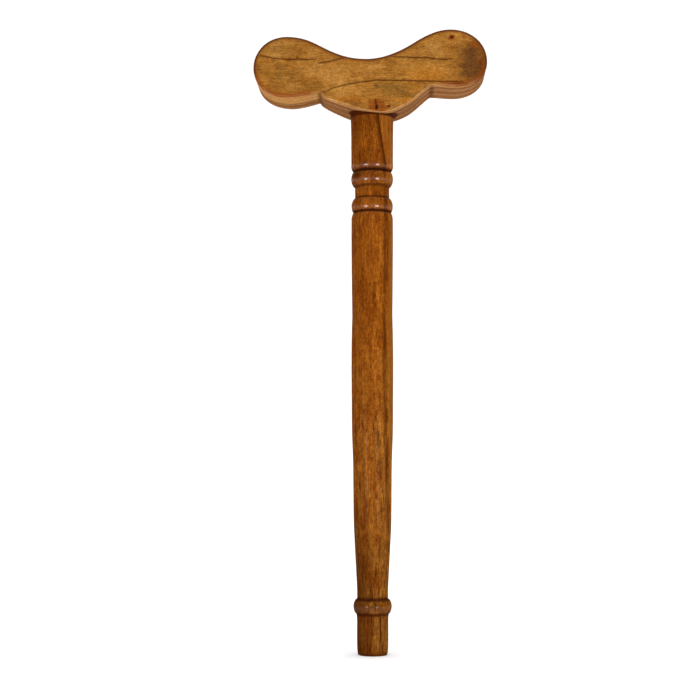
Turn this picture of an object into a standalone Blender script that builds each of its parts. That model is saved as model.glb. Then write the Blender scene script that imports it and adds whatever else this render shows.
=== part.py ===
"""Short underarm crutch in solid wood: a scroll-cut armrest board on one turned post.

The post ends in a round tenon, which sits in a blind socket in the board's centre lobe,
and its shoulder is scribed to the lobe's round underside.
A fox wedge in the tenon's saw kerf spreads it inside the socket, and a cross peg driven
in from the back locks it.

Frame: the origin is the centre of the foot's end face, +Z runs up the post and the
board's flat faces look along -Y, the front, and +Y, the back. All sizes are in metres.
"""

import math

import bmesh
import bpy
import numpy as np

OBJECT_NAME = "underarm_crutch"

# Armrest board
BOARD_THICKNESS = 0.050
BOARD_SEAT_Z = 0.4890  # height of the lowest point of the centre lobe
ARRIS_EASE = 0.0012
OUTLINE_STEPS = 8  # straight steps on each stretch between two outline points

# The board's outline, clockwise from the left notch, seen from the front. Each point has
# its x, its height above the seat, the heading of the line through it in degrees, and how
# far its curve handles reach before and after it.
BOARD_OUTLINE = (
    (-0.0474, 0.0190, 98, 0.0040, 0.0020),  # left notch
    (-0.0780, 0.0150, 178, 0.0110, 0.0170),  # underside of the left lobe
    (-0.1079, 0.0429, 89, 0.0170, 0.0130),  # left end
    (-0.0770, 0.0707, -1, 0.0200, 0.0170),  # crest of the left lobe
    (-0.0407, 0.0588, -26, 0.0130, 0.0130),
    (-0.0054, 0.0498, -1, 0.0145, 0.0150),  # lowest point of the saddle
    (0.0378, 0.0640, 32, 0.0160, 0.0120),
    (0.0730, 0.0764, -2, 0.0135, 0.0180),  # crest of the right lobe
    (0.1049, 0.0475, -89, 0.0160, 0.0160),  # right end
    (0.0776, 0.0240, 182, 0.0150, 0.0082),  # underside of the right lobe
    (0.0540, 0.0247, 191, 0.0080, 0.0034),  # right notch
    (0.0329, 0.0083, 209, 0.0085, 0.0100),
    (0.0062, 0.0001, 177, 0.0095, 0.0140),  # lowest point of the centre lobe
    (-0.0224, 0.0064, 161, 0.0110, 0.0100),
)

# Turned post
GAP = 0.0003  # clearance between pieces that touch
SHOULDER_BLANK_Z = BOARD_SEAT_Z + 0.0100  # before the shoulder is scribed to the board
NECK_TOP_RADIUS = 0.0195
TURNING_STEPS = 40
FOOT_END_RADIUS = 0.0122
ARC_STEPS = 5

# Plain stretches, top to bottom, as (height, radius)
NECK = ((0.4860, 0.0193), (0.4686, 0.0190), (0.4460, 0.0190))
SHAFT = (
    (0.3925, 0.01886),
    (0.3550, 0.01870),
    (0.3060, 0.01820),  # slight waist
    (0.2560, 0.01882),  # belly
    (0.1970, 0.01833),
    (0.1630, 0.01740),
    (0.1150, 0.01665),
    (0.0720, 0.01450),
    (0.0545, 0.01372),
)
SHAFT_STEPS = 2  # straight steps between two of the shaft's heights
SPIGOT = ((0.0340, 0.0140), (0.0210, 0.0139), (0.0050, 0.0136), (0.0022, 0.0134))

# Beads and grooves
NECK_GROOVE = (0.4387, 0.0168)
UPPER_BEAD = (0.4319, 0.01906)
COVE_TOP = (0.4244, 0.01555)
COVE_FOOT = (0.4140, 0.01555)
LOWER_BEAD = (0.4069, 0.01878)
SHAFT_GROOVE = (0.4007, 0.0169)
FOOT_BEAD_TOP = (0.0506, 0.01376)
FOOT_BEAD = (0.0434, 0.01710)
FOOT_BEAD_FOOT = (0.0370, 0.01430)
FULLNESS = 1.7  # 2 makes a bead's flank a true quarter ellipse, and less makes it leaner

# Joint
TENON_RADIUS = 0.0125
TENON_FOOT_Z = 0.4700  # where the tenon's round starts inside the neck
TENON_TOP_Z = 0.5260
TENON_CHAMFER = 0.0010
SOCKET_TOP_Z = 0.5280
KERF_FOOT_Z = 0.5080
WEDGE_FOOT_Z = 0.5100
WEDGE_FOOT_THICKNESS = 0.0012
WEDGE_HEAD_THICKNESS = 0.0034
WEDGE_WIDTH = 0.0220
PEG_Z = 0.5000
PEG_RADIUS = 0.0035
PEG_INNER_Y = -0.0140
PEG_CHAMFER = 0.0007
PEG_SIDES = 32

OVERCUT = 0.010  # how far a cutter runs past the face that it opens


def new_collection(name):
    collection = bpy.data.collections.new(name)
    bpy.context.scene.collection.children.link(collection)
    return collection


def wood(name, colour, roughness):
    material = bpy.data.materials.new(name)
    material.use_nodes = True
    shader = material.node_tree.nodes["Principled BSDF"]
    shader.inputs["Base Color"].default_value = (*colour, 1.0)
    shader.inputs["Roughness"].default_value = roughness
    shader.inputs["Metallic"].default_value = 0.0
    return material


def place(mesh, name, collection, material=None):
    obj = bpy.data.objects.new(name, mesh)
    collection.objects.link(obj)
    if material is not None:
        mesh.materials.append(material)
    return obj


def shade_turned(mesh):
    mesh.shade_smooth()
    mesh.set_sharp_from_angle(angle=math.radians(35))


def hide_cutter(obj):
    obj.hide_render = True
    obj.display_type = "WIRE"
    return obj


def cut(obj, cutter):
    boolean = obj.modifiers.new("cut " + cutter.name, "BOOLEAN")
    boolean.operation = "DIFFERENCE"
    boolean.solver = "EXACT"
    boolean.object = cutter


def join(obj, addition):
    boolean = obj.modifiers.new("join " + addition.name, "BOOLEAN")
    boolean.operation = "UNION"
    boolean.solver = "EXACT"
    boolean.object = addition


def cylinder_mesh(name, radius, length, sides, chamfer=0.0, chamfer_top=False):
    """A cylinder along +Z, standing on the origin, with its foot or its top chamfered if asked."""
    body = bmesh.new()
    bmesh.ops.create_cone(
        body, cap_ends=True, segments=sides, radius1=radius, radius2=radius, depth=length
    )
    bmesh.ops.translate(body, verts=body.verts, vec=(0, 0, length / 2))
    if chamfer:
        end_z = length if chamfer_top else 0.0
        rim = [e for e in body.edges if all(abs(v.co.z - end_z) < chamfer / 2 for v in e.verts)]
        bmesh.ops.bevel(body, geom=rim, offset=chamfer, segments=1, affect="EDGES")
    mesh = bpy.data.meshes.new(name)
    body.to_mesh(mesh)
    body.free()
    shade_turned(mesh)
    return mesh


def tapered_slab_mesh(name, width, foot_z, foot_thickness, head_z, head_thickness):
    """A wedge across Y: foot_thickness and head_thickness are measured along X."""
    body = bmesh.new()
    bmesh.ops.create_cube(body, size=1.0)
    for corner in body.verts:
        at_head = corner.co.z > 0
        corner.co.x *= head_thickness if at_head else foot_thickness
        corner.co.y *= width
        corner.co.z = head_z if at_head else foot_z
    mesh = bpy.data.meshes.new(name)
    body.to_mesh(mesh)
    body.free()
    return mesh


def flank(crest, valley, fullness=FULLNESS):
    """The turned curve from a bead's crest to the valley beside it, both as (height, radius)."""
    points = []
    for step in range(ARC_STEPS + 1):
        share = math.sin(step / ARC_STEPS * math.pi / 2)
        height = crest[0] + (valley[0] - crest[0]) * share
        rise = max(0.0, 1 - share**fullness) ** (1 / fullness)
        points.append((height, valley[1] + (crest[1] - valley[1]) * rise))
    return points


def smooth_run(stations, steps):
    """Points on a smooth curve through stations, each as (height, radius)."""
    heights, radii = (np.array(column) for column in zip(*stations))
    slopes = np.gradient(radii, heights)
    points = []
    for i in range(len(stations) - 1):
        span = heights[i + 1] - heights[i]
        for step in range(steps):
            t = step / steps
            radius = (
                (2 * t**3 - 3 * t**2 + 1) * radii[i]
                + (t**3 - 2 * t**2 + t) * span * slopes[i]
                + (3 * t**2 - 2 * t**3) * radii[i + 1]
                + (t**3 - t**2) * span * slopes[i + 1]
            )
            points.append((heights[i] + t * span, radius))
    points.append((heights[-1], radii[-1]))
    return points


def post_profile():
    """The post's outer line from the centre of the neck's blank top down to the foot's centre."""
    neck = [(SHOULDER_BLANK_Z, 0.0), (SHOULDER_BLANK_Z, NECK_TOP_RADIUS), *NECK]
    beads = (
        flank(NECK[-1], NECK_GROOVE)[1:]
        + flank(UPPER_BEAD, NECK_GROOVE)[-2::-1]
        + flank(UPPER_BEAD, COVE_TOP)[1:]
        + flank(LOWER_BEAD, COVE_FOOT)[::-1]
        + flank(LOWER_BEAD, SHAFT_GROOVE)[1:]
        + flank(SHAFT[0], SHAFT_GROOVE)[-2:0:-1]
    )
    shaft = smooth_run(SHAFT, SHAFT_STEPS)
    foot_bead = flank(FOOT_BEAD, FOOT_BEAD_TOP)[::-1] + flank(FOOT_BEAD, FOOT_BEAD_FOOT)[1:]
    foot = [*SPIGOT, (0.0, FOOT_END_RADIUS), (0.0, 0.0)]
    return neck + beads + shaft + foot_bead + foot


def sawn_board(name, collection):
    """The board as the saw leaves it: its outline at full thickness, with sharp arrises."""
    curve = bpy.data.curves.new(name, "CURVE")
    curve.dimensions = "2D"
    curve.fill_mode = "BOTH"
    curve.extrude = BOARD_THICKNESS / 2
    curve.resolution_u = OUTLINE_STEPS
    spline = curve.splines.new("BEZIER")
    spline.bezier_points.add(len(BOARD_OUTLINE) - 1)
    spline.use_cyclic_u = True
    for point, (x, height, heading, before, after) in zip(spline.bezier_points, BOARD_OUTLINE):
        along = np.array([math.cos(math.radians(heading)), math.sin(math.radians(heading)), 0.0])
        centre = np.array([x, BOARD_SEAT_Z + height, 0.0])
        point.handle_left_type = "FREE"
        point.handle_right_type = "FREE"
        point.co = centre
        point.handle_left = centre - before * along
        point.handle_right = centre + after * along
    outline = place(curve, name + "_outline", collection)
    outline.rotation_euler = (math.pi / 2, 0.0, 0.0)
    bpy.context.view_layer.update()

    graph = bpy.context.evaluated_depsgraph_get()
    mesh = bpy.data.meshes.new_from_object(outline.evaluated_get(graph))
    body = bmesh.new()
    body.from_mesh(mesh)
    bmesh.ops.remove_doubles(body, verts=body.verts, dist=0.00001)
    body.to_mesh(mesh)
    body.free()
    board = place(mesh, name, collection)
    board.matrix_world = outline.matrix_world.copy()
    bpy.data.objects.remove(outline)
    return board


def make_board(parts, cutters):
    board = sawn_board("armrest_board", parts)
    board.data.materials.clear()
    board.data.materials.append(wood("board wood", (0.40, 0.19, 0.045), 0.32))
    ease = board.modifiers.new("eased arrises", "BEVEL")
    ease.width = ARRIS_EASE
    ease.segments = 2
    ease.limit_method = "ANGLE"
    ease.angle_limit = math.radians(60)

    socket_foot_z = BOARD_SEAT_Z - OVERCUT
    mesh = cylinder_mesh(
        "tenon_socket", TENON_RADIUS + GAP, SOCKET_TOP_Z - socket_foot_z, TURNING_STEPS
    )
    socket = hide_cutter(place(mesh, "tenon_socket", cutters))
    socket.location = (0.0, 0.0, socket_foot_z)
    cut(board, socket)
    return board


def make_post(parts, cutters):
    profile = bpy.data.meshes.new("turned_post")
    points = [(radius, 0.0, height) for height, radius in post_profile()]
    profile.from_pydata(points, [(i, i + 1) for i in range(len(points) - 1)], [])
    post = place(profile, "turned_post", parts, wood("post wood", (0.24, 0.075, 0.012), 0.24))
    turning = post.modifiers.new("turning", "SCREW")
    turning.axis = "Z"
    turning.steps = TURNING_STEPS
    turning.render_steps = TURNING_STEPS
    turning.use_merge_vertices = True
    turning.merge_threshold = 0.00001
    turning.use_smooth_shade = True

    scribing = hide_cutter(sawn_board("shoulder_scribe", cutters))
    scribing.location.z -= GAP
    cut(post, scribing)
    mesh = cylinder_mesh(
        "tenon",
        TENON_RADIUS,
        TENON_TOP_Z - TENON_FOOT_Z,
        TURNING_STEPS,
        TENON_CHAMFER,
        chamfer_top=True,
    )
    tenon = hide_cutter(place(mesh, "tenon", cutters))
    tenon.location = (0.0, 0.0, TENON_FOOT_Z)
    join(post, tenon)

    mesh = tapered_slab_mesh(
        "tenon_kerf",
        2 * TENON_RADIUS + OVERCUT,
        KERF_FOOT_Z,
        WEDGE_FOOT_THICKNESS + 2 * GAP,
        TENON_TOP_Z + GAP,
        WEDGE_HEAD_THICKNESS + 2 * GAP,
    )
    cut(post, hide_cutter(place(mesh, "tenon_kerf", cutters)))
    return post


def make_wedge(parts):
    mesh = tapered_slab_mesh(
        "fox_wedge",
        WEDGE_WIDTH,
        WEDGE_FOOT_Z,
        WEDGE_FOOT_THICKNESS,
        TENON_TOP_Z - GAP,
        WEDGE_HEAD_THICKNESS,
    )
    return place(mesh, "fox_wedge", parts, wood("wedge wood", (0.33, 0.16, 0.05), 0.6))


def make_peg(parts, cutters, board, post):
    back_y = BOARD_THICKNESS / 2
    towards_front = (math.pi / 2, 0.0, 0.0)  # turns +Z to -Y

    hole_end_y = PEG_INNER_Y - GAP
    mesh = cylinder_mesh(
        "peg_hole", PEG_RADIUS + GAP, back_y + OVERCUT - hole_end_y, PEG_SIDES
    )
    hole = hide_cutter(place(mesh, "peg_hole", cutters))
    hole.rotation_euler = towards_front
    hole.location = (0.0, back_y + OVERCUT, PEG_Z)
    cut(board, hole)
    cut(post, hole)

    mesh = cylinder_mesh("cross_peg", PEG_RADIUS, back_y - PEG_INNER_Y, PEG_SIDES, PEG_CHAMFER)
    peg = place(mesh, "cross_peg", parts, wood("peg wood", (0.20, 0.075, 0.020), 0.4))
    peg.rotation_euler = (-math.pi / 2, 0.0, 0.0)
    peg.location = (0.0, PEG_INNER_Y, PEG_Z)
    return peg


def main():
    for obj in list(bpy.data.objects):
        bpy.data.objects.remove(obj)
    parts = new_collection(OBJECT_NAME)
    cutters = new_collection("cutters")
    board = make_board(parts, cutters)
    post = make_post(parts, cutters)
    make_wedge(parts)
    make_peg(parts, cutters, board, post)


main()
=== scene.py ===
"""Looks of the short underarm crutch: the scroll-cut armrest board, the turned post and their joint.

Metres, +Z up, the same frame as the CAD: the origin is the centre of the foot's end face, and
the board's front face looks along -Y.
"""

import math

import bmesh
import bpy
import numpy as np
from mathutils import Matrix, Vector
from mathutils.geometry import delaunay_2d_cdt, interpolate_bezier


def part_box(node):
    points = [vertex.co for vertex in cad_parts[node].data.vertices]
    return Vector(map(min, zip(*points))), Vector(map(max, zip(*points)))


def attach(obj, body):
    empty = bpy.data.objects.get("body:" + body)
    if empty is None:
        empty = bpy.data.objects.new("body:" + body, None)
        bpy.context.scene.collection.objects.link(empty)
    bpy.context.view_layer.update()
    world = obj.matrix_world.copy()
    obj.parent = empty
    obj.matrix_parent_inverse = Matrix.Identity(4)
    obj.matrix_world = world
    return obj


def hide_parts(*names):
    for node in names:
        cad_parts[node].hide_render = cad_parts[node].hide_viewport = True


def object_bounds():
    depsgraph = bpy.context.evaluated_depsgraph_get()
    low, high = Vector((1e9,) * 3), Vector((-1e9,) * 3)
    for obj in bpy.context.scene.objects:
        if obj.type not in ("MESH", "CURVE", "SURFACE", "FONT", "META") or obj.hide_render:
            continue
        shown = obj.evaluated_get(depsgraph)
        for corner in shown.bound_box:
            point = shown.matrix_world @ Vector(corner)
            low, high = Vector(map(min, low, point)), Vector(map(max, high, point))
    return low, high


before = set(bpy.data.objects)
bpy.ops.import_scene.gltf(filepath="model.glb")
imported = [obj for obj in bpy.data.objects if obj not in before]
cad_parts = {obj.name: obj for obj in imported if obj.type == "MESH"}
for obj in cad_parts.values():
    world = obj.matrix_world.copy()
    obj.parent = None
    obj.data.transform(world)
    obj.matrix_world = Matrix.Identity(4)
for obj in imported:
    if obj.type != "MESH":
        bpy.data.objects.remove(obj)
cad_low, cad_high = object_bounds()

BODY = "root"

board_low, board_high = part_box("armrest_board")
post_low, post_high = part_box("turned_post")
wedge_low, wedge_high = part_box("fox_wedge")
peg_low, peg_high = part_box("cross_peg")

SEAT_Z = board_low.z
GAP = 0.0003


def link_new(name, data):
    obj = bpy.data.objects.new(name, data)
    bpy.context.scene.collection.objects.link(obj)
    return obj


def mesh_from(name, body):
    """The finished mesh of a bmesh, with its faces turned outwards."""
    bmesh.ops.recalc_face_normals(body, faces=body.faces)
    mesh = bpy.data.meshes.new(name)
    body.to_mesh(mesh)
    body.free()
    return mesh


def settle(obj):
    """Leaves the object with the mesh that its modifiers make, and no modifiers."""
    bpy.context.view_layer.update()
    graph = bpy.context.evaluated_depsgraph_get()
    mesh = bpy.data.meshes.new_from_object(obj.evaluated_get(graph))
    obj.modifiers.clear()
    obj.data = mesh


# ---------------------------------------------------------------- camera, stage and light

CAMERA_PLACE = (0.0151, -1.3210, 0.1801)
CAMERA_PITCH = 4.10
CAMERA_TURN = 1.54
CAMERA_LENS = 74.57
SENSOR_WIDTH = 36.0

STAGE_HALF_WIDTH = 14.0
STAGE_FRONT_Y = -14.0
STAGE_BACK_Y = 2.6
STAGE_SWEEP = 1.4
STAGE_HEIGHT = 5.0
SWEEP_STEPS = 24


def make_camera():
    data = bpy.data.cameras.new("camera")
    data.lens = CAMERA_LENS
    data.sensor_width = SENSOR_WIDTH
    camera = link_new("camera", data)
    camera.location = CAMERA_PLACE
    camera.rotation_euler = (math.radians(90 + CAMERA_PITCH), 0.0, math.radians(CAMERA_TURN))
    bpy.context.scene.camera = camera


def make_stage():
    """A pale floor that sweeps up into a backdrop, with no corner between them."""
    line = [(STAGE_FRONT_Y, 0.0)]
    for step in range(SWEEP_STEPS + 1):
        angle = step / SWEEP_STEPS * math.pi / 2
        y = STAGE_BACK_Y - STAGE_SWEEP * (1 - math.sin(angle))
        line.append((y, STAGE_SWEEP * (1 - math.cos(angle))))
    line.append((STAGE_BACK_Y, STAGE_HEIGHT))
    sheet = bmesh.new()
    rows = [
        [sheet.verts.new((side * STAGE_HALF_WIDTH, y, z)) for side in (-1, 1)] for y, z in line
    ]
    for lower, upper in zip(rows, rows[1:]):
        sheet.faces.new((lower[0], lower[1], upper[1], upper[0]))
    mesh = bpy.data.meshes.new("floor")
    sheet.to_mesh(mesh)
    sheet.free()
    mesh.shade_smooth()
    floor = link_new("floor", mesh)
    floor.location.z = cad_low.z
    material = bpy.data.materials.new("pale floor")
    material.use_nodes = True
    shader = material.node_tree.nodes["Principled BSDF"]
    shader.inputs["Base Color"].default_value = (0.98, 0.98, 0.98, 1.0)
    shader.inputs["Roughness"].default_value = 0.9
    shader.inputs["Specular IOR Level"].default_value = 0.0
    mesh.materials.append(material)


def area_light(name, place, aim, width, height, power):
    data = bpy.data.lights.new(name, "AREA")
    data.shape = "RECTANGLE"
    data.size = width
    data.size_y = height
    data.energy = power
    light = link_new(name, data)
    light.location = place
    light.rotation_euler = (Vector(aim) - Vector(place)).to_track_quat("-Z", "Y").to_euler()
    light.visible_camera = False


SKY_DIM_BELOW = 0.35
SKY_FULL_ABOVE = 0.85
SKY_DIM = 0.12
SKY_FULL = 1.60


def make_air():
    """Sky light for the studio: dim near the horizon, brighter overhead, and plain white to look at."""
    world = bpy.data.worlds.new("studio air")
    world.use_nodes = True
    tree = world.node_tree
    seen = tree.nodes["Background"]
    seen.inputs["Color"].default_value = (1.0, 1.0, 1.0, 1.0)
    lighting = tree.nodes.new("ShaderNodeBackground")
    lighting.inputs["Color"].default_value = (1.0, 1.0, 1.0, 1.0)
    coordinates = tree.nodes.new("ShaderNodeTexCoord")
    split = tree.nodes.new("ShaderNodeSeparateXYZ")
    climb = tree.nodes.new("ShaderNodeMapRange")
    climb.interpolation_type = "SMOOTHSTEP"
    climb.inputs["From Min"].default_value = SKY_DIM_BELOW
    climb.inputs["From Max"].default_value = SKY_FULL_ABOVE
    climb.inputs["To Min"].default_value = SKY_DIM
    climb.inputs["To Max"].default_value = SKY_FULL
    path = tree.nodes.new("ShaderNodeLightPath")
    either = tree.nodes.new("ShaderNodeMixShader")
    tree.links.new(coordinates.outputs["Generated"], split.inputs["Vector"])
    tree.links.new(split.outputs["Z"], climb.inputs["Value"])
    tree.links.new(climb.outputs["Result"], lighting.inputs["Strength"])
    tree.links.new(path.outputs["Is Camera Ray"], either.inputs["Fac"])
    tree.links.new(lighting.outputs["Background"], either.inputs[1])
    tree.links.new(seen.outputs["Background"], either.inputs[2])
    tree.links.new(either.outputs["Shader"], tree.nodes["World Output"].inputs["Surface"])
    bpy.context.scene.world = world


def make_lights():
    bead = (0.0, 0.0, 0.43)
    area_light("softbox left", (-0.70, -1.02, 0.13), bead, 0.40, 0.24, 4.4)
    area_light("softbox right", (0.60, -1.06, 0.13), bead, 0.40, 0.24, 5.0)
    area_light("backdrop light", (0.0, 0.9, 2.4), (0.0, STAGE_BACK_Y, 0.9), 3.0, 0.4, 20.0)
    make_air()


# ---------------------------------------------------------------- wood finishes


class Recipe:
    """The shader of one wood. Each method adds nodes and gives back what comes out of them."""

    def __init__(self, name):
        self.material = bpy.data.materials.new(name)
        self.material.use_nodes = True
        self.tree = self.material.node_tree
        self.shader = self.tree.nodes["Principled BSDF"]
        self.place = self.tree.nodes.new("ShaderNodeTexCoord").outputs["Object"]
        self.x, self.y, self.z = self.node("ShaderNodeSeparateXYZ", Vector=self.place).outputs

    def feed(self, socket, value):
        if isinstance(value, bpy.types.NodeSocket):
            self.tree.links.new(value, socket)
        elif socket.type == "RGBA":
            socket.default_value = (*value, 1.0)
        else:
            socket.default_value = value

    def node(self, kind, **inputs):
        node = self.tree.nodes.new(kind)
        for name, value in inputs.items():
            self.feed(node.inputs[name], value)
        return node

    def calc(self, operation, *values):
        node = self.node("ShaderNodeMath")
        node.operation = operation
        for socket, value in zip(node.inputs, values):
            self.feed(socket, value)
        return node.outputs["Value"]

    def vector(self, operation, *values):
        node = self.node("ShaderNodeVectorMath")
        node.operation = operation
        for socket, value in zip(node.inputs, values):
            self.feed(socket, value)
        return node.outputs["Value" if operation == "LENGTH" else "Vector"]

    def fade(self, value, start, full, low=0.0, high=1.0):
        """Eases from low to high as the value goes from start to full, in either direction."""
        node = self.node("ShaderNodeMapRange", Value=value)
        node.interpolation_type = "SMOOTHSTEP"
        for name, number in zip(("From Min", "From Max", "To Min", "To Max"), (start, full, low, high)):
            node.inputs[name].default_value = number
        return node.outputs["Result"]

    def noise(self, stretch, size, detail=2.0, roughness=0.5):
        """Soft noise whose lumps are about size across, times the stretch along each axis."""
        place = self.vector("DIVIDE", self.place, tuple(size * s for s in stretch))
        return self.node(
            "ShaderNodeTexNoise", Vector=place, Scale=1.0, Detail=detail, Roughness=roughness
        ).outputs["Fac"]

    def attribute(self, name):
        node = self.node("ShaderNodeAttribute")
        node.attribute_name = name
        return node.outputs["Fac"]

    def tint(self, under, over, share, kind="MIX"):
        node = self.node("ShaderNodeMix")
        node.data_type = "RGBA"
        node.blend_type = kind
        sockets = {socket.identifier: socket for socket in node.inputs}
        self.feed(sockets["Factor_Float"], share)
        self.feed(sockets["A_Color"], under)
        self.feed(sockets["B_Color"], over)
        return next(s for s in node.outputs if s.identifier == "Result_Color")

    def shaded(self, colour, factor):
        """The colour made darker or lighter by a factor."""
        return self.tint(colour, factor, 1.0, "MULTIPLY")

    def both(self, first, *others):
        """The product of masks and strengths."""
        for other in others:
            first = self.calc("MULTIPLY", first, other)
        return first

    def stripe(self, value, middle, half_width):
        """1 where the value is at the middle, fading to 0 half a width away on either side."""
        apart = self.calc("ABSOLUTE", self.calc("SUBTRACT", value, middle))
        return self.fade(apart, half_width, half_width * 0.2)

    def blob(self, centre, reach, softness, swing=(0.0, 0.0, 0.0)):
        """1 inside an ellipsoid, fading out towards its edge, which the swing makes ragged."""
        offset = self.vector("DIVIDE", self.vector("SUBTRACT", self.place, centre), reach)
        return self.fade(self.vector("LENGTH", self.vector("ADD", offset, swing)), 1.0, 1.0 - softness)

    def follow(self, height, trace):
        """A smooth value read off a trace of (height, value) points."""
        heights, values = (np.array(column) for column in zip(*trace))
        low, high = values.min() - 0.001, values.max() + 0.001
        share = self.node("ShaderNodeMapRange", Value=height)
        share.inputs["From Min"].default_value = heights.min()
        share.inputs["From Max"].default_value = heights.max()
        curve = self.node("ShaderNodeFloatCurve", Value=share.outputs["Result"])
        points = curve.mapping.curves[0].points
        spots = (heights - heights.min()) / (heights.max() - heights.min())
        levels = (values - low) / (high - low)
        for spot in spots[1:-1]:
            points.new(spot, 0.0)
        for point, spot, level in zip(points, spots, levels):
            point.location = (spot, level)
        curve.mapping.update()
        back = self.node("ShaderNodeMapRange", Value=curve.outputs["Value"])
        back.inputs["To Min"].default_value = low
        back.inputs["To Max"].default_value = high
        return back.outputs["Result"]

    def growth(self, depth, spacing):
        """(dark late wood, its finer lines) of layers spacing apart along a depth."""
        layer = self.calc("FRACT", self.calc("DIVIDE", depth, spacing))
        late = self.both(self.fade(layer, 0.35, 0.88), self.fade(layer, 1.0, 0.94))
        fine = self.calc("FRACT", self.calc("DIVIDE", depth, spacing / 3.4))
        return late, self.both(self.fade(fine, 0.5, 0.8), self.fade(fine, 1.0, 0.85))

    def finish(self, colour, roughness, height, relief, bump=0.5):
        self.feed(self.shader.inputs["Base Color"], colour)
        self.feed(self.shader.inputs["Roughness"], roughness)
        raised = self.node("ShaderNodeBump", Height=height, Strength=bump, Distance=relief)
        self.feed(self.shader.inputs["Normal"], raised.outputs["Normal"])
        return self.material

    def varnish(self, weight, roughness, ior):
        """A clear coat that gives the whole shine: the wood under it stays dull."""
        self.shader.inputs["Specular IOR Level"].default_value = 0.0
        self.feed(self.shader.inputs["Coat Weight"], weight)
        self.shader.inputs["Coat Roughness"].default_value = roughness
        self.shader.inputs["Coat IOR"].default_value = ior


# ---------------------------------------------------------------- armrest board

BOARD_HALF = (board_high.y - board_low.y) / 2
FRONT_Y = -BOARD_HALF
ARRIS_ROUND = 0.0016
ARRIS_STEPS = 6
EDGE_LOOPS = 22
STEPS_PER_STRETCH = 36
FACE_SPACING = 0.0011

# Both saw lines, clockwise from the left notch seen from the front: x, height above the seat,
# heading in degrees, and the reach of the curve before and after the point.
FRONT_OUTLINE = (
    (-0.0463, 0.0184, 98, 0.0050, 0.0019),
    (-0.0788, 0.0149, 178, 0.0099, 0.0164),
    (-0.1079, 0.0427, 89, 0.0167, 0.0132),
    (-0.0770, 0.0706, -1, 0.0197, 0.0167),
    (-0.0407, 0.0587, -26, 0.0127, 0.0128),
    (-0.0054, 0.0497, -1, 0.0145, 0.0148),
    (0.0378, 0.0639, 32, 0.0158, 0.0120),
    (0.0730, 0.0763, -2, 0.0136, 0.0180),
    (0.1048, 0.0472, -89, 0.0158, 0.0167),
    (0.0776, 0.0239, 183, 0.0149, 0.0081),
    (0.0539, 0.0245, 194, 0.0081, 0.0037),
    (0.0327, 0.0084, 208.5, 0.0083, 0.0101),
    (0.0062, 0.0001, 175, 0.0096, 0.0139),
    (-0.0221, 0.0070, 162.5, 0.0109, 0.0100),
)
BACK_OUTLINE = (
    (-0.0485, 0.0196, 97, 0.0034, 0.0018),
    (-0.0767, 0.0149, 177, 0.0127, 0.0180),
    (-0.1078, 0.0430, 88, 0.0173, 0.0125),
    (-0.0770, 0.0706, -1, 0.0203, 0.0167),
    (-0.0407, 0.0587, -26, 0.0127, 0.0128),
    (-0.0055, 0.0497, -1, 0.0145, 0.0149),
    (0.0378, 0.0639, 32, 0.0159, 0.0117),
    (0.0732, 0.0763, -3, 0.0134, 0.0180),
    (0.1048, 0.0491, -82, 0.0154, 0.0147),
    (0.0777, 0.0236, 182, 0.0150, 0.0084),
    (0.0544, 0.0248, 179, 0.0078, 0.0024),
    (0.0332, 0.0080, 210.5, 0.0089, 0.0096),
    (0.0060, 0.0005, 181, 0.0093, 0.0138),
    (-0.0230, 0.0050, 158, 0.0109, 0.0092),
)

# Drying splits that run along the grain, as points of x and height above the seat.
FRONT_SPLITS = (
    ((-0.1030, 0.0533), (-0.0910, 0.0508), (-0.0780, 0.0494), (-0.0650, 0.0494), (-0.0500, 0.0490)),
    ((-0.0490, 0.0454), (-0.0390, 0.0470), (-0.0300, 0.0496), (-0.0250, 0.0501)),
    (
        (-0.0443, 0.0180), (-0.0370, 0.0219), (-0.0297, 0.0245), (-0.0170, 0.0269), (0.0000, 0.0291),
        (0.0080, 0.0297), (0.0325, 0.0290), (0.0575, 0.0283), (0.0840, 0.0274),
    ),
    ((0.0188, 0.0514), (0.0260, 0.0512), (0.0400, 0.0500), (0.0500, 0.0503), (0.0628, 0.0484), (0.0740, 0.0487)),
)
BACK_SPLITS = (
    ((-0.0960, 0.0360), (-0.0780, 0.0374), (-0.0560, 0.0368), (-0.0400, 0.0381), (-0.0210, 0.0384)),
    ((0.0900, 0.0560), (0.0740, 0.0549), (0.0560, 0.0556), (0.0410, 0.0543)),
)
SPLIT_WIDTH = 0.00052
SPLIT_DEPTH = 0.0010
SPLIT_STEP = 0.0008
SPLIT_WANDER = 0.00013
SPLIT_STAIN = 0.78
SPLIT_STAIN_REACH = 0.0006
SPLIT_SEED = 4


def outline_points(depth):
    """The saw line as an array of (x, z), at a depth from 0 at the front face to 1 at the back."""
    knots = (1 - depth) * np.array(FRONT_OUTLINE) + depth * np.array(BACK_OUTLINE)
    heading = np.radians(knots[:, 2])
    along = np.stack([np.cos(heading), np.sin(heading)], axis=1)
    middle = knots[:, :2] + (0.0, SEAT_Z)
    before = middle - knots[:, 3:4] * along
    after = middle + knots[:, 4:5] * along
    points = []
    for i in range(len(knots)):
        following = (i + 1) % len(knots)
        stretch = interpolate_bezier(
            Vector((*middle[i], 0.0)),
            Vector((*after[i], 0.0)),
            Vector((*before[following], 0.0)),
            Vector((*middle[following], 0.0)),
            STEPS_PER_STRETCH + 1,
        )
        points += [(p.x, p.y) for p in stretch[:-1]]
    return np.array(points)


def inward(points):
    """Unit vectors that point into the board, at right angles to a clockwise line."""
    run = np.roll(points, -1, axis=0) - np.roll(points, 1, axis=0)
    run /= np.linalg.norm(run, axis=1, keepdims=True)
    return np.stack([run[:, 1], -run[:, 0]], axis=1)


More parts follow.
